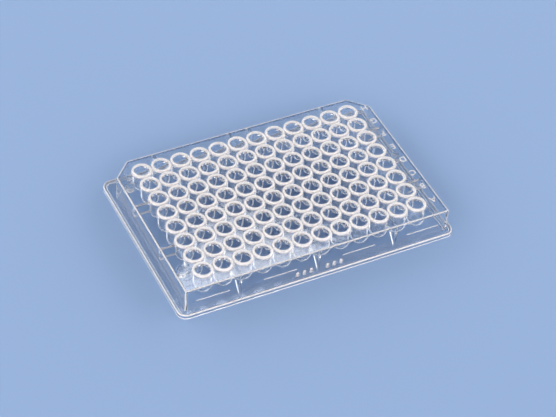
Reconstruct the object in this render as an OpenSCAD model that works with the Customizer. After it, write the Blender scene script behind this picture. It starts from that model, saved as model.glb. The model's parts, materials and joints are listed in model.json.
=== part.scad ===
// 96-well plate, moulded in one piece: a skirted deck with eight rows of twelve round-bottomed wells.
// Millimetres, +Z up. The origin is the middle of the footprint, on the surface the plate stands on.
// Columns 1 to 12 run towards +X, rows A to H run towards -Y, and the two cut corners are beside row H.

/* [Footprint] */
// Length of the foot along X
foot_l = 127.76; // [122:0.01:155]
// Width of the foot along Y
foot_w = 85.48; // [80:0.01:103]
// Height from the surface it stands on to the top of the well rims
plate_h = 14.35; // [12:0.05:20]
// Radius of the foot's four corners, seen from above
foot_r = 4; // [2:0.1:6]

/* [Foot and skirt] */
// Height of the foot
foot_h = 2.2; // [1.8:0.1:3.5]
// How far the foot stands out from the skirt at the two ends
foot_step_x = 2.88; // [2:0.01:3.5]
// How far the foot stands out from the skirt along the two long sides
foot_step_y = 2.64; // [2:0.01:3.5]
// Thickness of the foot's upright lip
lip_t = 1.2; // [0.8:0.1:1.5]
// Thickness of the ledge on top of the foot
ledge_t = 1.1; // [0.8:0.1:1.4]
// Thickness of the skirt wall
skirt_t = 1.2; // [0.8:0.1:1.6]
// Rounding of the foot's upper edge
foot_edge_r = 0.5; // [0.3:0.1:0.7]

/* [Deck] */
// Thickness of the deck
deck_t = 1.2; // [0.8:0.1:1.6]
// Rounding of the deck's upper edge
deck_edge_r = 0.5; // [0.3:0.1:0.6]
// Rounding of the skirt's upright corners
corner_r = 0.8; // [0.7:0.1:1.5]
// Length taken off each side at the two cut corners
corner_cut = 8; // [5:0.1:10]
// Rounding of the upper edge at the two cut corners
cut_edge_r = 0.7; // [0.6:0.1:1]

/* [Wells] */
// Number of rows
rows = 8; // [2:2:8]
// Number of columns
columns = 12; // [2:2:12]
// Distance between well centres
pitch = 9; // [8.8:0.01:9.2]
// Diameter of a well at its mouth
well_d = 6.86; // [5.7:0.01:7]
// How much narrower a well is where its round floor starts
well_taper = 0.6; // [0.1:0.05:0.8]
// Depth of a well, from the rim to the lowest point of its floor
well_depth = 10.4; // [8.3:0.05:10.8]
// Wall of the tube around a well, at its mouth
tube_wall = 0.52; // [0.5:0.01:0.8]
// Thickness of a well's floor at its lowest point
floor_t = 1.1; // [0.7:0.05:1.2]
// Wall of the raised rim around a well's mouth
rim_wall = 0.82; // [0.7:0.01:0.9]
// Height of the rims above the deck
rim_h = 0.95; // [0.6:0.05:1.2]
// Bevel of a rim's outer edge
rim_bevel = 0.2; // [0.1:0.05:0.3]

/* [Ribs and bosses] */
// Thickness of the ribs
rib_t = 1.2; // [0.7:0.1:1.4]
// Height of the straight ribs' lower edge
rib_z = 7; // [6:0.1:8]
// Height of the row A gussets where they meet the skirt
gusset_foot_z = 1.5; // [1.3:0.1:3]
// Height of the row A gussets beside the wells
gusset_z = 6.2; // [5:0.1:8]
// How far the row A gussets' lower edge slopes inwards
gusset_reach = 4.1; // [3:0.1:4.5]
// Diameter of the three bosses under the deck
boss_d = 3.7; // [2.5:0.1:4]
// Height of the bosses' lower ends
boss_z = 8.5; // [7:0.1:9]
// Distance of the bosses' centres from the outside of the skirt
boss_inset = 4.3; // [3.5:0.1:4.5]

/* [Marks on the row A side] */
// Length of each of the four ridges
ridge_l = 15; // [10:0.5:20]
// Radius of the ridges
ridge_r = 0.3; // [0.2:0.05:0.4]
// Height of the ridges
ridge_z = 6.6; // [5:0.1:9]
// Distance of the inner ridges' centres from the middle of the side
ridge_inner_x = 18.2; // [12:0.1:25]
// Distance of the outer ridges' centres from the middle of the side
ridge_outer_x = 48.6; // [40:0.1:52]
// Radius of the six pips at the foot of the side
pip_r = 0.8; // [0.5:0.05:1]
// Distance of the innermost pips from the middle of the side
pip_first_x = 3.8; // [2:0.05:6]
// Distance between the pips of one group
pip_pitch = 3.15; // [2.5:0.05:3.5]
// Height of the pips' tops
pip_top_z = 4.7; // [4:0.1:6]

/* [Hidden] */
$fn = 48;
// How far a cut passes beyond the face it meets
over = 0.2;

half_l = foot_l / 2;
half_w = foot_w / 2;
skirt_x = half_l - foot_step_x;
skirt_y = half_w - foot_step_y;
inner_x = skirt_x - skirt_t;
inner_y = skirt_y - skirt_t;
deck_z = plate_h - rim_h;
under_z = deck_z - deck_t;
deck_mid_z = deck_z - deck_t / 2;

// Centres of the outermost wells, on a grid centred on the foot
grid_x = (columns - 1) / 2 * pitch;
grid_y = (rows - 1) / 2 * pitch;

// Radii and heights along a well's section
mouth_r = well_d / 2;
rim_r = mouth_r + rim_wall;
end_r = mouth_r - well_taper / 2;
end_z = plate_h - well_depth + end_r;
tube_r = mouth_r + tube_wall;
tube_end_z = plate_h - well_depth - floor_t + tube_r;

// Places of the ribs, counted in well pitches from the middle
gusset_at = [-4, 0, 4];
row_h_rib_at = [-4.5, -0.5, 0.5, 4.5];
column_12_rib_at = [-1.5, 1.5];
column_1_rib_at = [-2, 2];
boss_x = skirt_x - boss_inset;
boss_at = [[boss_x, 3 * pitch], [boss_x, -3 * pitch], [-boss_x, 0]];

// Four corners of a rectangle, anticlockwise
function corners(x, y) = [[x, y], [-x, y], [-x, -y], [x, -y]];

function heading(from, to) = atan2(to[1] - from[1], to[0] - from[0]);

module quarter_disc(r) {
    intersection() {
        circle(r);
        square(2 * r);
    }
}

// Section of a rounded block's edge, r wide and h high, with its upper outer corner rounded to e
module edge_section(r, e, h) {
    polygon([[0, 0], [r, 0], [r, h - e], [r - e, h], [0, h]]);
    translate([r - e, h - e]) quarter_disc(e);
}

// A block that stands out by r from the given outline, with its upper edge rounded to e
module rounded_block(points, r, e, h) {
    count = len(points);
    linear_extrude(h) polygon(points);
    for (i = [0 : count - 1]) {
        here = points[i];
        next = points[(i + 1) % count];
        last_way = heading(points[(i + count - 1) % count], here);
        way = heading(here, next);
        side = norm(next - here);
        translate([here[0], here[1], 0]) {
            rotate([0, 0, way - 90]) translate([0, side, 0]) rotate([90, 0, 0])
                linear_extrude(side) edge_section(r, e, h);
            rotate([0, 0, last_way - 90])
                rotate_extrude(angle = (way - last_way + 360) % 360) edge_section(r, e, h);
        }
    }
}

// A wide block whose far side is the face of one cut corner
module behind_cut(s) {
    reach = (skirt_x + skirt_y - corner_cut) / sqrt(2);
    rotate([0, 0, 45 * s - 90]) translate([-foot_l, foot_l, 0]) rotate([90, 0, 0])
        linear_extrude(2 * foot_l) edge_section(foot_l + reach, cut_edge_r, deck_z);
}

// The skirt and deck as a solid block
module skirt_block() {
    x = skirt_x - corner_r;
    y = skirt_y - corner_r;
    intersection() {
        rounded_block(corners(x, y), corner_r, deck_edge_r, deck_z);
        behind_cut(-1);
        behind_cut(1);
    }
}

// Six corners of the space inside the skirt, anticlockwise, with its walls equally thick
function inside_corners() =
    let (x = inner_x, y = inner_y, cut = corner_cut - skirt_t * (2 - sqrt(2)))
    [[x, y], [-x, y], [-x, -y + cut], [-x + cut, -y], [x - cut, -y], [x, -y + cut]];

// Empty space inside the foot's lip and below the deck
module underside() {
    x = half_l - foot_r;
    y = half_w - foot_r;
    translate([0, 0, -over]) {
        linear_extrude(under_z + over) polygon(inside_corners());
        rounded_block(corners(x, y), foot_r - lip_t, foot_edge_r, foot_h - ledge_t + over);
    }
}

module at_each_well() {
    for (row = [0 : rows - 1], column = [0 : columns - 1])
        translate([column * pitch - grid_x, grid_y - row * pitch, 0]) children();
}

// Foot, skirt and deck, with a hole in the deck for each tube
module shell() {
    difference() {
        union() {
            rounded_block(corners(half_l - foot_r, half_w - foot_r), foot_r, foot_edge_r, foot_h);
            skirt_block();
        }
        underside();
        at_each_well() translate([0, 0, under_z - over])
            cylinder(h = deck_t + 2 * over, r = mouth_r + tube_wall / 2);
    }
}

// Section of a tube from its axis outwards: tapered well, straight outside, round floor, bevelled rim
module tube_section() {
    difference() {
        union() {
            translate([0, tube_end_z]) mirror([0, 1]) quarter_disc(tube_r);
            polygon([[0, tube_end_z], [tube_r, tube_end_z], [tube_r, under_z],
                [rim_r, under_z], [rim_r, plate_h - rim_bevel], [rim_r - rim_bevel, plate_h],
                [0, plate_h]]);
        }
        translate([0, end_z]) mirror([0, 1]) quarter_disc(end_r);
        polygon([[0, end_z], [end_r, end_z], [mouth_r, plate_h], [mouth_r, plate_h + over],
            [0, plate_h + over]]);
    }
}

// An upright rib along X, half its thickness each side of y = 0, from its outline in X and Z
module rib(outline) {
    translate([0, rib_t / 2, 0]) rotate([90, 0, 0]) linear_extrude(rib_t) polygon(outline);
}

// A rib with a level lower edge
module straight_rib(from, to) {
    rib([[from, rib_z], [to, rib_z], [to, deck_mid_z], [from, deck_mid_z]]);
}

// A rib whose lower edge slopes down to the foot of the skirt
module gusset(from, wall, to) {
    rib([[from, gusset_z], [wall - gusset_reach, gusset_z], [wall, gusset_foot_z],
        [to, gusset_foot_z], [to, deck_mid_z], [from, deck_mid_z]]);
}

// The ribs that join the outermost wells to the skirt, each sunk into both
module ribs() {
    into_x = skirt_x - skirt_t / 2;
    into_y = skirt_y - skirt_t / 2;
    into_tube = tube_r - tube_wall / 2;
    for (at = gusset_at)
        translate([at * pitch, 0, 0]) rotate([0, 0, 90]) gusset(grid_y, inner_y, into_y);
    for (at = row_h_rib_at)
        translate([at * pitch, 0, 0]) rotate([0, 0, -90])
            straight_rib(grid_y + into_tube, into_y);
    for (at = column_12_rib_at)
        translate([0, at * pitch, 0]) straight_rib(grid_x + into_tube, into_x);
    for (at = column_1_rib_at)
        translate([0, at * pitch, 0]) rotate([0, 0, 180]) straight_rib(grid_x, into_x);
}

// Round bosses under the deck, two at the column 12 end and one at the column 1 end
module bosses() {
    for (at = boss_at)
        translate([at[0], at[1], boss_z]) cylinder(h = deck_mid_z - boss_z, d = boss_d);
}

// Half-round ridges along the row A side
module ridges() {
    for (x = [-ridge_outer_x, -ridge_inner_x, ridge_inner_x, ridge_outer_x])
        translate([x, skirt_y, ridge_z]) rotate([0, 90, 0])
            cylinder(h = ridge_l, r = ridge_r, center = true);
}

// Half-round pips that stand on the foot against the row A side, in two groups of three
module pips() {
    root_z = foot_h - ledge_t / 2;
    dome_z = pip_top_z - pip_r;
    for (s = [-1, 1], i = [0 : 2])
        translate([s * (pip_first_x + i * pip_pitch), skirt_y, 0]) rotate_extrude() {
            translate([0, root_z]) square([pip_r, dome_z - root_z]);
            translate([0, dome_z]) quarter_disc(pip_r);
        }
}

module well_plate() {
    color("azure") {
        shell();
        at_each_well() rotate_extrude() tube_section();
        ribs();
        bosses();
        ridges();
        pips();
    }
}

well_plate();
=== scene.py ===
# %% [markdown]
# # A clear 96-well plate
# A well plate is one piece of clear polystyrene, injected into a steel mould: a skirted deck that
# carries eight rows of twelve small round-bottomed wells. Its shape comes finished from the CAD
# model. This lesson gives it its plastic, adds the raised row letters that the mould leaves on
# the deck, and builds a light tent round it. Clear things have no colour of their own, so nearly
# all of the work is in what they bend and mirror.

# %% Load the CAD model as a fixed frame
import json
import math

import bmesh
import bpy
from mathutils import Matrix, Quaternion, Vector


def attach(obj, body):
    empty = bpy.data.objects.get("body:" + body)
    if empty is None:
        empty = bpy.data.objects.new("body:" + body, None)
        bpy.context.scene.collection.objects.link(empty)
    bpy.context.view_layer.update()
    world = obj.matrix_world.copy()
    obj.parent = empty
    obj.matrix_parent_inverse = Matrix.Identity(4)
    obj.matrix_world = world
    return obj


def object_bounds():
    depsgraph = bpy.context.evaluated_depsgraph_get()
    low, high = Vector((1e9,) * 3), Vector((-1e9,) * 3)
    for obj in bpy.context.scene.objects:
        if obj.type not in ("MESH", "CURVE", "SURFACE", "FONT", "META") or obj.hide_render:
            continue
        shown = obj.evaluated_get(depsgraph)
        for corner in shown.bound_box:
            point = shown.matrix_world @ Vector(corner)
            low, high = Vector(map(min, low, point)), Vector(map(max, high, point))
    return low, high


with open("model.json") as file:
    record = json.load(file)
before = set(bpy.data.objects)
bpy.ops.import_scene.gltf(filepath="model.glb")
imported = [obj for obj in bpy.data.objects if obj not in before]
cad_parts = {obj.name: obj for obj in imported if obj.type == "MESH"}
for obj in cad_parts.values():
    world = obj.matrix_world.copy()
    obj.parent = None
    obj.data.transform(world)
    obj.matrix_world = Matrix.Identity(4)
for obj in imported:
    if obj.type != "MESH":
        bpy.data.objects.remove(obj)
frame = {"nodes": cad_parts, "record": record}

cad_low, cad_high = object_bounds()
MM = 0.001
plate = frame["nodes"]["well_plate"]
print("plate", [round((b - a) / MM, 2) for a, b in zip(cad_low, cad_high)], "mm")

# %% [markdown]
# ## The camera
# The plate is seen from above its row A side, with column 1 on the right. The camera is a long
# lens well back from the plate, which keeps its sides nearly parallel. It is placed by turning
# about the plate: an azimuth, an elevation and a distance from the point it looks at, with a
# slight roll.

# %% Place the camera
VIEW_AZIMUTH, VIEW_ELEVATION, VIEW_ROLL = 150.88, 44.33, 4.573
VIEW_DISTANCE = 817.6 * MM
VIEW_TARGET = Vector((2.421, 5.377, 7.0)) * MM
LENS_MM = 124.68
NEAREST, FARTHEST = 0.05, 20.0

azimuth, elevation, roll = (math.radians(a) for a in (VIEW_AZIMUTH, VIEW_ELEVATION, VIEW_ROLL))
ahead = Vector((-math.sin(azimuth), math.cos(azimuth), 0.0))
rightwards = Vector((ahead.y, -ahead.x, 0.0))
forward = ahead * math.cos(elevation) - Vector((0, 0, 1)) * math.sin(elevation)
upright = rightwards.cross(forward)
right = math.cos(roll) * rightwards + math.sin(roll) * upright
up = math.cos(roll) * upright - math.sin(roll) * rightwards

camera_data = bpy.data.cameras.new("camera")
camera_data.lens = LENS_MM
camera_data.clip_start, camera_data.clip_end = NEAREST, FARTHEST
camera = bpy.data.objects.new("camera", camera_data)
bpy.context.collection.objects.link(camera)
place = VIEW_TARGET - forward * VIEW_DISTANCE
for row in range(3):
    camera.matrix_world[row][:] = (right[row], up[row], -forward[row], place[row])
bpy.context.scene.camera = camera
print("camera at", [round(v / MM, 1) for v in place], "mm")

# %% [markdown]
# ## Measure the plate
# The finish changes from place to place: the rims are matt, the foot's edge is scuffed, and both
# are painted whiter as well, a painted highlight. To find those places without guessing, rays are
# shot at the CAD model: down and up for heights, and level from outside for upright faces. The
# wells' centres come from the record's own boxes.

# %% Find the deck, the foot, the skirt and the rows
# Where rays start, in mm: clear of the plate, at a height and a place where the face is plain
BESIDE, ABOVE, BELOW = 10.0, 30.0, -10.0
OFF_ROW_A, OFF_END, OFF_CUT = (30.0, 60.0, BESIDE), (80.0, 0.0, BESIDE), (70.0, -50.0, BESIDE)
OVER_DECK, OVER_FOOT = -1.5, 1.0    # past the skirt's end face
UNDER_END = 57.0                    # under the ribs and bosses beyond the last wells
UP, DOWN = (0, 0, 1), (0, 0, -1)


def first_hit(start_mm, way):
    """Where a ray from this point first meets the plate, in metres."""
    met, point, _, _ = plate.ray_cast(Vector(start_mm) * MM, Vector(way))
    assert met, start_mm
    return point


half_length, half_width = cad_high[0], cad_high[1]
row_a_side = first_hit(OFF_ROW_A, (0, -1, 0)).y
end_side = first_hit(OFF_END, (-1, 0, 0)).x
deck_top = first_hit((end_side / MM + OVER_DECK, 0.0, ABOVE), DOWN).z
foot_top = first_hit((end_side / MM + OVER_FOOT, 0.0, ABOVE), DOWN).z
on_cut = first_hit(OFF_CUT, (-1, 1, 0))
cut_reach = (on_cut.x - on_cut.y) / math.sqrt(2)    # from the plate's middle, square to the cut

boxes = {opening["name"]: opening["box_m"] for opening in frame["record"]["physics"]["openings"]}
row_at = {
    letter: (boxes[f"well_{letter}1"][0][1] + boxes[f"well_{letter}1"][1][1]) / 2
    for letter in "ABCDEFGH"
}
column_1 = (boxes["well_A1"][0][0] + boxes["well_A1"][1][0]) / 2
pitch = row_at["A"] - row_at["B"]
boss_row = (row_at["A"] + row_at["B"]) / 2
rib_foot = first_hit((UNDER_END, row_at["C"] / MM, BELOW), UP).z
boss_foot = first_hit((UNDER_END, boss_row / MM, BELOW), UP).z
for name, value in (("row A side", row_a_side), ("end side", end_side), ("deck", deck_top),
        ("foot", foot_top), ("ribs' lower edge", rib_foot), ("bosses' lower end", boss_foot),
        ("cut corner", cut_reach), ("column 1", column_1)):
    print(name, round(value / MM, 3), "mm")
print("rows", {letter: round(y / MM, 1) for letter, y in row_at.items()})

# %% [markdown]
# ## Clear moulded polystyrene
# The plate is crystal polystyrene from a polished mould. It bends light strongly, so every wall
# shows a bright outline. A real moulding isn't perfect, and that is what makes it believable:
# - the mould is spark-eroded, and so matt, on the rims and a ring of deck round each of them, on
#   the letters, and on the ridges and pips of the row A side; these places are also painted
#   whiter, a painted highlight for the light that they catch and carry;
# - the foot, the deck's edge, the upright corners and the lower edges of the ribs and bosses are
#   dulled by handling and stacking, and painted whiter in the same way, a painted highlight;
# - its faces ripple by a few hundredths of a millimetre where the melt shrank over the tubes.
#
# A material is a tree of nodes. They could be added one by one in Blender's editor, but a helper
# that adds a node with its settings and its links makes them readable as text.

# %% Start the material
def add_node(tree, kind, settings=(), values=(), links=()):
    """A node of this kind with its properties set, its inputs filled and its inputs linked."""
    node = tree.nodes.new(kind)
    for name, value in dict(settings).items():
        setattr(node, name, value)
    for name, value in dict(values).items():
        node.inputs[name].default_value = value
    for name, socket in dict(links).items():
        tree.links.new(socket, node.inputs[name])
    return node


def new_material(name):
    """An empty node material and its tree."""
    material = bpy.data.materials.new(name)
    material.use_nodes = True
    material.node_tree.nodes.clear()
    return material, material.node_tree


plastic, tree = new_material("clear moulded polystyrene")
where = add_node(tree, "ShaderNodeTexCoord").outputs["Object"]
print("material", plastic.name)

# %% [markdown]
# ## Where on the plate
# The matt places, which also carry a painted highlight, could be painted on an unwrapped image.
# Here each is a mask, a number from 0 to 1 that the shader works out from the place on the
# plate, because masks stay sharp at any distance and take their sizes from the model. The place
# is read in Object coordinates, which belong to the plate, so the masks go with it wherever it is
# moved. First the shader needs the distances that the masks are made of. The plate is alike on
# both sides of its middle, so most of them are measured out from there.

# %% Measure distances in the shader
FOOT_CORNER = 4.0 * MM    # the radius of its corners, as the CAD model has it

mirrored = add_node(tree, "ShaderNodeVectorMath", {"operation": "ABSOLUTE"}, links={0: where})
apart = add_node(tree, "ShaderNodeSeparateXYZ", links={"Vector": where})
beside = add_node(tree, "ShaderNodeSeparateXYZ", links={"Vector": mirrored.outputs["Vector"]})
x_out, y_out = beside.outputs["X"], beside.outputs["Y"]
y, z = apart.outputs["Y"], apart.outputs["Z"]

# Out from the foot's straight core, which is one corner radius at any point of its outer face;
# and out from the nearest well's centre, with the plate folded onto one square of the wells' grid
core = (half_length - FOOT_CORNER, half_width - FOOT_CORNER, 0.0)
distances = []
for start, steps in (
        (mirrored.outputs["Vector"], [("SUBTRACT", {1: core}), ("MAXIMUM", {1: (0, 0, 0)})]),
        (where, [("ADD", {1: (pitch / 2, pitch / 2, 0)}),
            ("WRAP", {1: (pitch / 2, pitch / 2, 1), 2: (-pitch / 2, -pitch / 2, -1)})])):
    for operation, constants in steps + [("MULTIPLY", {1: (1, 1, 0)})]:    # without the height
        start = add_node(tree, "ShaderNodeVectorMath", {"operation": operation}, constants,
            {0: start}).outputs["Vector"]
    length = add_node(tree, "ShaderNodeVectorMath", {"operation": "LENGTH"}, links={0: start})
    distances.append(length.outputs["Value"])
from_core, from_well = distances

# Out towards the two cut corners
slant = add_node(tree, "ShaderNodeMath", {"operation": "SUBTRACT"}, links={0: x_out, 1: y})
slant = add_node(tree, "ShaderNodeMath", {"operation": "MULTIPLY"}, {1: math.sqrt(0.5)},
    {0: slant.outputs["Value"]}).outputs["Value"]
print("distance nodes", len(tree.nodes))

# %% [markdown]
# ## The matt places and their painted highlight
# A zone of the plate is where several bands overlap. Each band is a distance, an edge of the
# plate, and the short span past that edge, in millimetres, over which the zone begins: below 0 is
# short of the edge, and the second number is where it is full. A level is such a span in height.
# The matt-and-highlight values say how much of the light each zone scatters: that makes it matt
# and also paints it whiter, a painted highlight. Where zones meet, the strongest counts.

# %% Mark the rims, the side, the foot and the deck's edge
RIM_RADIUS = 4.25 * MM    # as the CAD model has it
# How much each zone scatters: partly a matt finish, partly a painted highlight that whitens it
RIM_MATT_AND_HIGHLIGHT, RING_MATT_AND_HIGHLIGHT, MARK_MATT_AND_HIGHLIGHT, FOOT_MATT_AND_HIGHLIGHT, EDGE_MATT_AND_HIGHLIGHT = 0.78, 0.45, 0.5, 0.75, 0.6
RIM_LEVEL = (0.03, 0.12)
RING_SPAN, RING_LEVEL, RING_END = (0.6, 0.2), (-0.1, -0.05), (0.6, 0.5)
MARK_SPAN, MARK_LEVEL = (0.05, 0.2), (0.1, 0.4)
LIP_SPAN, LIP_TOP_LEVEL, LIP_FOOT_LEVEL = (-0.7, -0.2), (-0.7, -0.4), (0.7, 0.4)
EDGE_SPAN, EDGE_LEVEL = (-0.9, -0.6), (-0.3, -0.1)
CORNER_SPAN, CORNER_LEVEL = (-0.6, -0.3), (0.05, 0.25)
SMOOTH = {"interpolation_type": "SMOOTHSTEP"}


def plate_zone(tree, *bands, frost_and_highlight=1.0, within=None):
    """This much scatter, which is matt and a painted highlight, where all the bands (distance,
    edge, span in mm) and the zone within are full.
    """
    for distance, edge, (begins, full) in bands:
        band = add_node(tree, "ShaderNodeMapRange", SMOOTH,
            {"From Min": edge + begins * MM, "From Max": edge + full * MM, "To Max": frost_and_highlight},
            {"Value": distance}).outputs["Result"]
        within = band if within is None else add_node(tree, "ShaderNodeMath",
            {"operation": "MULTIPLY"}, links={0: within, 1: band}).outputs["Value"]
        frost_and_highlight = 1.0
    return within


def strongest(tree, zone, *more_zones):
    """Several zones as one, with the strongest of them at each point."""
    for other in more_zones:
        zone = add_node(tree, "ShaderNodeMath", {"operation": "MAXIMUM"},
            links={0: zone, 1: other}).outputs["Value"]
    return zone


rims = plate_zone(tree, (z, deck_top, RIM_LEVEL), frost_and_highlight=RIM_MATT_AND_HIGHLIGHT)
rings = plate_zone(tree, (from_well, RIM_RADIUS, RING_SPAN), (z, deck_top, RING_LEVEL),
    (x_out, -column_1 + RIM_RADIUS, RING_END), (y_out, row_at["A"] + RIM_RADIUS, RING_END),
    frost_and_highlight=RING_MATT_AND_HIGHLIGHT)
marks = plate_zone(tree, (y, row_a_side, MARK_SPAN), (z, foot_top, MARK_LEVEL), frost_and_highlight=MARK_MATT_AND_HIGHLIGHT)
lip = plate_zone(tree, (from_core, FOOT_CORNER, LIP_SPAN))
lip_top = plate_zone(tree, (z, foot_top, LIP_TOP_LEVEL), frost_and_highlight=FOOT_MATT_AND_HIGHLIGHT, within=lip)
lip_foot = plate_zone(tree, (z, 0.0, LIP_FOOT_LEVEL), frost_and_highlight=FOOT_MATT_AND_HIGHLIGHT, within=lip)
near_edge = strongest(tree, *(plate_zone(tree, (distance, edge, EDGE_SPAN))
    for distance, edge in ((x_out, end_side), (y_out, row_a_side), (slant, cut_reach))))
deck_edge = plate_zone(tree, (z, deck_top, EDGE_LEVEL), frost_and_highlight=EDGE_MATT_AND_HIGHLIGHT, within=near_edge)
upright_corners = plate_zone(tree, (x_out, end_side, CORNER_SPAN),
    (y_out, row_a_side, CORNER_SPAN), (z, foot_top, CORNER_LEVEL), frost_and_highlight=FOOT_MATT_AND_HIGHLIGHT)
outer_zones = (rims, rings, marks, lip_top, lip_foot, deck_edge, upright_corners)
print("outer zones", len(outer_zones))

# %% [markdown]
# The ribs and bosses stand in the hollow, between the tubes of the outermost wells and the skirt.
# Their zones are cut off at both, so that neither the tubes nor the skirt's inner faces turn
# matt and painted white. The letters lie between column 1 and the end of the deck, and only their
# faces stand above it.

# %% Mark the ribs, the bosses and the letters
TUBE_RADIUS, SKIRT_WALL = 3.95 * MM, 1.2 * MM    # as the CAD model has them
# The same for the ribs, bosses and letters: matt, and whitened as a painted highlight
RIB_MATT_AND_HIGHLIGHT, LETTER_MATT_AND_HIGHLIGHT = 0.85, 0.78
PAST_TUBE, SHORT_OF_TUBE, INSIDE_SKIRT = (0.0, 0.2), (0.2, 0.0), (-0.1, -0.3)
RIB_LEVEL = (0.8, 0.5)
BOSS_SPAN, MIDDLE_BOSS_SPAN = (-2.6, -2.4), (2.6, 2.4)    # from the bosses' middles
BOSS_END_LEVEL, BOSS_LEVEL = (0.02, 0.1), (0.9, 0.6)
LETTER_SPAN, LETTER_LEVEL = (5.5, 5.7), (0.05, 0.15)      # from the middle of column 1

past_end_tubes = (x_out, -column_1 + TUBE_RADIUS, PAST_TUBE)
past_tubes = strongest(tree, plate_zone(tree, past_end_tubes),
    plate_zone(tree, (y_out, row_at["A"] + TUBE_RADIUS, PAST_TUBE)))
in_hollow = plate_zone(tree, (x_out, end_side - SKIRT_WALL, INSIDE_SKIRT),
    (y_out, row_a_side - SKIRT_WALL, INSIDE_SKIRT),
    (slant, cut_reach - SKIRT_WALL, INSIDE_SKIRT), within=past_tubes)
ribs = plate_zone(tree, (z, rib_foot, RIB_LEVEL),
    (y, row_at["A"] + TUBE_RADIUS, SHORT_OF_TUBE), frost_and_highlight=RIB_MATT_AND_HIGHLIGHT, within=in_hollow)
boss_rows = strongest(tree, plate_zone(tree, (y_out, boss_row, BOSS_SPAN), within=in_hollow),
    plate_zone(tree, (y_out, 0.0, MIDDLE_BOSS_SPAN), within=in_hollow))
bosses = plate_zone(tree, (z, boss_foot, BOSS_LEVEL), (z, boss_foot, BOSS_END_LEVEL),
    past_end_tubes, frost_and_highlight=RIB_MATT_AND_HIGHLIGHT, within=boss_rows)
letter_faces = plate_zone(tree, (x_out, -column_1, LETTER_SPAN), (z, deck_top, LETTER_LEVEL),
    frost_and_highlight=LETTER_MATT_AND_HIGHLIGHT)
zones = outer_zones + (ribs, bosses, letter_faces)
# All the zones as one: where the plastic is matt and painted whiter, a painted highlight
frost_and_highlight = strongest(tree, *zones)
print("zones with a finish of their own:", len(zones))

# %% [markdown]
# ## The ripple
# Where the melt is thick it shrinks more, so the faces over and between the tubes ripple a
# little, and that breaks up what they mirror. Moving the mesh would need millions of faces. A
# bump tilts the light instead, and is enough for waves this low. Beside the wells, and in a
# narrow band along the deck's edge, the wall is even and the ripple is calm.

# %% Make the faces ripple
RIPPLE_MM, RIPPLE_DETAIL, RIPPLE_HEIGHT = 2.5, 1.0, 0.032 * MM
CALM_SHARE = 0.1
CALM_PAST_TUBE, CALM_PAST_ROW_H, CALM_EDGE = (0.2, 1.2), (-0.2, -1.2), (-2.4, -1.4)
ROW_A_TO_B = (0.0, -pitch / MM)

calm = strongest(tree,
    plate_zone(tree, (x_out, -column_1 + TUBE_RADIUS, CALM_PAST_TUBE),
        (y, row_at["A"], ROW_A_TO_B)),
    plate_zone(tree, (y, row_at["H"] - TUBE_RADIUS, CALM_PAST_ROW_H)),
    plate_zone(tree, (x_out, end_side, CALM_EDGE)),
    plate_zone(tree, (y_out, row_a_side, CALM_EDGE)),
    plate_zone(tree, (slant, cut_reach, CALM_EDGE)))
bump_share = add_node(tree, "ShaderNodeMapRange", SMOOTH, {"To Min": 1.0, "To Max": CALM_SHARE},
    {"Value": calm})
ripple = add_node(tree, "ShaderNodeTexNoise",
    values={"Scale": 1 / (RIPPLE_MM * MM), "Detail": RIPPLE_DETAIL}, links={"Vector": where})
bump = add_node(tree, "ShaderNodeBump", values={"Distance": RIPPLE_HEIGHT}, links={
    "Strength": bump_share.outputs["Result"], "Height": ripple.outputs["Fac"]})
print("ripple of", RIPPLE_MM, "mm")

# %% [markdown]
# ## One shader for all of it
# One Principled shader makes the clear and the matt plastic. Where it is matt, a share of the
# light scatters instead of passing (Transmission Weight goes down), what passes is blurred
# (Roughness goes up), and the colour is a little warmer. The scattered share and the warmer colour
# are a painted highlight as well as a matt finish: they whiten the rims, edges and ridges in place
# of the light those parts catch and carry. Cycles doesn't look for lamps through a face that bends
# light, so clear things would throw black shadows. Shadow rays meet a faintly tinted Transparent
# shader instead, which lets them through.
#
# The matt, and its painted highlight with it, is a little uneven, as scuffs are. Real scuffs are
# finer than 0.8 mm, and are drawn that coarse because finer ones would not show. The clear faces
# are almost perfectly smooth, and broad clouds of a very slight haze keep them from looking
# computed.
#
# Colours are written as sRGB hex values, as a paint chart gives them. Shaders work in linear
# light, so one helper turns them to that, and every colour from here on goes through it.

# %% Make the polystyrene
POLYSTYRENE_IOR = 1.59
# The second tint is the warm white of the matt places, partly a painted highlight colour
CLEAR_TINT, MATT_HIGHLIGHT_TINT, SHADOW_TINT = "#FDFEFF", "#F7F1EF", "#E6EBF3"
SCUFF_MM, SCUFF_DETAIL, SCUFF_FROM, SCUFF_TO, SCUFF_SHARE = 0.8, 3.0, 0.25, 0.6, 0.75
CLOUD_MM, CLOUD_DETAIL, CLOUD_FROM, CLOUD_TO, CLOUD_HAZE = 14.0, 2.0, 0.3, 0.7, 0.03
MATT_ROUGHNESS, ROUGH_AT, WARM_HIGHLIGHT_AT = 0.25, 0.6, 0.3    # fully rough, and fully warm in the painted highlight, at these matt shares


def linear(hex_colour):
    """sRGB hex to linear RGBA, by the curve that the sRGB standard gives."""
    parts = [int(hex_colour[i : i + 2], 16) / 255 for i in (1, 3, 5)]
    return [p / 12.92 if p <= 0.04045 else ((p + 0.055) / 1.055) ** 2.4 for p in parts] + [1.0]


scuffs = add_node(tree, "ShaderNodeTexNoise",
    values={"Scale": 1 / (SCUFF_MM * MM), "Detail": SCUFF_DETAIL}, links={"Vector": where})
uneven = add_node(tree, "ShaderNodeMapRange", SMOOTH,
    {"From Min": SCUFF_FROM, "From Max": SCUFF_TO, "To Min": SCUFF_SHARE},
    {"Value": scuffs.outputs["Fac"]})
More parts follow.
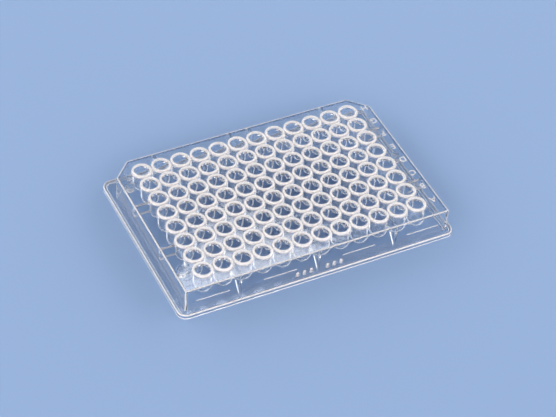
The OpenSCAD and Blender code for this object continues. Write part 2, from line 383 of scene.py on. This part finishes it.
# The matt share, uneven as scuffs are; its scattered white is partly a painted highlight
matt_and_highlight = add_node(tree, "ShaderNodeMath", {"operation": "MULTIPLY"},
    links={0: frost_and_highlight, 1: uneven.outputs["Result"]}).outputs["Value"]
passing = add_node(tree, "ShaderNodeMapRange", SMOOTH, {"To Min": 1.0, "To Max": 0.0},
    {"Value": matt_and_highlight})

clouds = add_node(tree, "ShaderNodeTexNoise",
    values={"Scale": 1 / (CLOUD_MM * MM), "Detail": CLOUD_DETAIL}, links={"Vector": where})
haze = add_node(tree, "ShaderNodeMapRange", SMOOTH,
    {"From Min": CLOUD_FROM, "From Max": CLOUD_TO, "To Max": CLOUD_HAZE},
    {"Value": clouds.outputs["Fac"]})
rough = add_node(tree, "ShaderNodeMapRange", SMOOTH,
    {"From Max": ROUGH_AT, "To Max": MATT_ROUGHNESS}, {"Value": matt_and_highlight})
roughness = strongest(tree, haze.outputs["Result"], rough.outputs["Result"])

# The matt places turn warm white, a painted highlight colour
warm_highlight = add_node(tree, "ShaderNodeMapRange", SMOOTH, {"From Max": WARM_HIGHLIGHT_AT}, {"Value": matt_and_highlight})
tint = add_node(tree, "ShaderNodeMix", {"data_type": "RGBA"},
    {6: linear(CLEAR_TINT), 7: linear(MATT_HIGHLIGHT_TINT)}, {0: warm_highlight.outputs["Result"]})
skin = add_node(tree, "ShaderNodeBsdfPrincipled", values={"IOR": POLYSTYRENE_IOR}, links={
    "Base Color": tint.outputs[2], "Roughness": roughness,
    "Transmission Weight": passing.outputs["Result"], "Normal": bump.outputs["Normal"]})

shadow_ray = add_node(tree, "ShaderNodeLightPath").outputs["Is Shadow Ray"]
lit_through = add_node(tree, "ShaderNodeBsdfTransparent", values={"Color": linear(SHADOW_TINT)})
surface = add_node(tree, "ShaderNodeMixShader",
    links={0: shadow_ray, 1: skin.outputs["BSDF"], 2: lit_through.outputs["BSDF"]})
add_node(tree, "ShaderNodeOutputMaterial", links={"Surface": surface.outputs["Shader"]})
plate.data.materials.clear()
plate.data.materials.append(plastic)
print("materials", [m.name for m in plate.data.materials], "nodes", len(tree.nodes))

# %% [markdown]
# ## Raised row letters
# The mould has the row letters cut into it, so they stand up from the deck beside column 1. Their
# outlines could be drawn as curves, but Blender's own font gives clean ones at once. Each letter
# is turned from text into a mesh, moved to its row, and all eight are joined, because on the real
# plate they are one part of one moulding.

# %% Raise the letters A to H
LETTER_SIZE = 4.2 * MM
LETTER_HEIGHT = 0.3 * MM
LETTER_SINK = 0.02 * MM
LETTERS_FROM_WELLS = 8.2 * MM

letters = bmesh.new()
for character, row_y in sorted(row_at.items()):
    outline = bpy.data.curves.new("letter", "FONT")
    outline.body, outline.size, outline.extrude = character, LETTER_SIZE, LETTER_HEIGHT / 2
    outline.align_x, outline.align_y = "CENTER", "CENTER"
    text = bpy.data.objects.new("letter", outline)
    bpy.context.collection.objects.link(text)
    graph = bpy.context.evaluated_depsgraph_get()
    solid = bpy.data.meshes.new_from_object(text.evaluated_get(graph))
    known = len(letters.verts)
    letters.from_mesh(solid)
    letters.verts.ensure_lookup_table()
    middle = Vector((
        column_1 - LETTERS_FROM_WELLS, row_y, deck_top + LETTER_HEIGHT / 2 - LETTER_SINK))
    bmesh.ops.translate(letters, vec=middle, verts=letters.verts[known:])
    bpy.data.objects.remove(text)
    bpy.data.curves.remove(outline)
    bpy.data.meshes.remove(solid)
bmesh.ops.recalc_face_normals(letters, faces=letters.faces)
letters_mesh = bpy.data.meshes.new("row_letters")
letters.to_mesh(letters_mesh)
letters.free()
row_letters = bpy.data.objects.new("row_letters", letters_mesh)
bpy.context.collection.objects.link(row_letters)
letters_mesh.materials.append(plastic)
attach(row_letters, "root")
print("letters", len(row_at), "faces", len(letters_mesh.polygons))

# %% [markdown]
# ## The floor
# The plate stands on a plain sheet of pale blue card. Its faint fibre keeps it from looking like
# a computed flat colour. The fibre is drawn coarser than real fibre is, so that it shows. Under
# the foot there is a hair's breadth of air, as there is on a real table: two faces in one plane
# would flicker, and light would leak between them.

# %% Lay the floor
FLOOR_COLOUR = "#97B1D8"
FLOOR_HALF_WIDTH = 3.0
FLOOR_GAP = 0.02 * MM
FLOOR_SPECULAR = 0.2
FIBRE_MM, FIBRE_DETAIL, FIBRE_FROM, FIBRE_TO = 1.5, 3.0, 0.3, 0.7
SMOOTH_FIBRE, ROUGH_FIBRE = 0.82, 0.92

sheet = bmesh.new()
bmesh.ops.create_grid(sheet, x_segments=1, y_segments=1, size=FLOOR_HALF_WIDTH)
floor_mesh = bpy.data.meshes.new("floor")
sheet.to_mesh(floor_mesh)
sheet.free()
floor = bpy.data.objects.new("floor", floor_mesh)
bpy.context.collection.objects.link(floor)
floor.location.z = cad_low[2] - FLOOR_GAP

card, tree = new_material("pale blue card")
on_card = add_node(tree, "ShaderNodeTexCoord").outputs["Object"]
fibre = add_node(tree, "ShaderNodeTexNoise",
    values={"Scale": 1 / (FIBRE_MM * MM), "Detail": FIBRE_DETAIL}, links={"Vector": on_card})
matt_face = add_node(tree, "ShaderNodeMapRange", SMOOTH,
    {"From Min": FIBRE_FROM, "From Max": FIBRE_TO, "To Min": SMOOTH_FIBRE, "To Max": ROUGH_FIBRE},
    {"Value": fibre.outputs["Fac"]})
face = add_node(tree, "ShaderNodeBsdfPrincipled",
    values={"Base Color": linear(FLOOR_COLOUR), "Specular IOR Level": FLOOR_SPECULAR},
    links={"Roughness": matt_face.outputs["Result"]})
add_node(tree, "ShaderNodeOutputMaterial", links={"Surface": face.outputs["BSDF"]})
floor_mesh.materials.append(card)
print("floor at", floor.location.z)

# %% [markdown]
# ## The light tent
# Clear plastic looks its best in a tent. Its bright walls reach up to about 35 degrees: the
# wells' walls and rims gather that low light from all round and glow white. The ceiling is dark,
# so that the floor isn't washed out. Straight across from the camera the tent has a window of the
# floor's own blue, because that is what the flat deck mirrors, and only so does the deck look
# clear. The tent could be built of lamps and sheets. The world does it with less noise. The
# camera itself sees a plain backdrop of the floor's colour behind the floor, and not the tent.

# %% Build the tent
WALL_LIGHT, CEILING_LIGHT = 2.2, 0.2
WALL_TOP, CEILING_FROM = 35.0, 50.0
WINDOW_ELEVATION, WINDOW_INNER, WINDOW_OUTER = 44.0, 14.0, 30.0
WINDOW_LIGHT = 0.5
WALL_COLOUR, WINDOW_COLOUR = "#FFFFFF", "#9DB6D8"


def direction(across, elevation_angle):
    """A unit vector, this many degrees to the right of the view's heading, and this high."""
    a, e = math.radians(across), math.radians(elevation_angle)
    level_way = ahead * math.cos(a) + rightwards * math.sin(a)
    return level_way * math.cos(e) + Vector((0, 0, math.sin(e)))


tent = bpy.data.worlds.new("light tent")
bpy.context.scene.world = tent
tent.use_nodes = True
tree = tent.node_tree
tree.nodes.clear()
way = add_node(tree, "ShaderNodeTexCoord").outputs["Generated"]
height = add_node(tree, "ShaderNodeSeparateXYZ", links={"Vector": way}).outputs["Z"]
wall = add_node(tree, "ShaderNodeMapRange", SMOOTH, {
    "From Min": math.sin(math.radians(WALL_TOP)), "From Max": math.sin(math.radians(CEILING_FROM)),
    "To Min": WALL_LIGHT, "To Max": CEILING_LIGHT}, {"Value": height})
toward = add_node(tree, "ShaderNodeVectorMath", {"operation": "DOT_PRODUCT"},
    {1: direction(0.0, WINDOW_ELEVATION)}, {0: way})
window = add_node(tree, "ShaderNodeMapRange", SMOOTH, {
    "From Min": math.cos(math.radians(WINDOW_OUTER)),
    "From Max": math.cos(math.radians(WINDOW_INNER))},
    {"Value": toward.outputs["Value"]}).outputs["Result"]
strength = add_node(tree, "ShaderNodeMix", {"data_type": "FLOAT"}, {3: WINDOW_LIGHT},
    {0: window, 2: wall.outputs["Result"]})
colour = add_node(tree, "ShaderNodeMix", {"data_type": "RGBA"},
    {6: linear(WALL_COLOUR), 7: linear(WINDOW_COLOUR)}, {0: window})
inside = add_node(tree, "ShaderNodeBackground",
    links={"Color": colour.outputs[2], "Strength": strength.outputs[0]})
plain = add_node(tree, "ShaderNodeBackground",
    values={"Color": linear(FLOOR_COLOUR), "Strength": 1.0})
seen = add_node(tree, "ShaderNodeLightPath").outputs["Is Camera Ray"]
both = add_node(tree, "ShaderNodeMixShader",
    links={0: seen, 1: inside.outputs["Background"], 2: plain.outputs["Background"]})
add_node(tree, "ShaderNodeOutputWorld", links={"Surface": both.outputs["Shader"]})
print("tent nodes", len(tree.nodes))

# %% [markdown]
# ## The panel
# One small panel hangs just above the window. The strip of deck along row A mirrors it, so a soft
# glare lies there, and the ripples of the moulding break it up. The panel is turned a little in
# its own plane, so that the glare begins at the column 12 corner and fades along the strip. It
# could be a bright patch of the tent, but an area lamp has a clean edge and gives less noise.

# %% Hang the panel
PANEL_ACROSS, PANEL_ELEVATION, PANEL_DISTANCE = 1.0, 50.0, 1.0
PANEL_WIDTH, PANEL_HEIGHT, PANEL_TURN = 0.2, 0.14, -16.0
PANEL_RADIANCE = 3.2

lamp = bpy.data.lights.new("glare_panel", "AREA")
lamp.shape, lamp.size, lamp.size_y = "RECTANGLE", PANEL_WIDTH, PANEL_HEIGHT
lamp.energy = PANEL_RADIANCE * math.pi * PANEL_WIDTH * PANEL_HEIGHT
panel = bpy.data.objects.new("glare_panel", lamp)
bpy.context.collection.objects.link(panel)
toward_panel = direction(PANEL_ACROSS, PANEL_ELEVATION)
panel.location = VIEW_TARGET + toward_panel * PANEL_DISTANCE
facing = (-toward_panel).to_track_quat("-Z", "Y")
panel.rotation_euler = (facing @ Quaternion((0, 0, 1), math.radians(PANEL_TURN))).to_euler()
panel.visible_camera = False
print("panel at", [round(v, 2) for v in panel.location], "m")

# %% [markdown]
# ## Light through many walls
# A ray that enters the plate meets dozens of walls before it leaves. With few bounces it would
# end in the dark, so the bounces are set high. The view transform is Standard, so colours stay as
# written.

# %% Let the light through and finish
BOUNCES = 200

bpy.context.scene.view_settings.view_transform = "Standard"
light_paths = bpy.context.scene.cycles
light_paths.max_bounces = light_paths.transmission_bounces = light_paths.glossy_bounces = BOUNCES
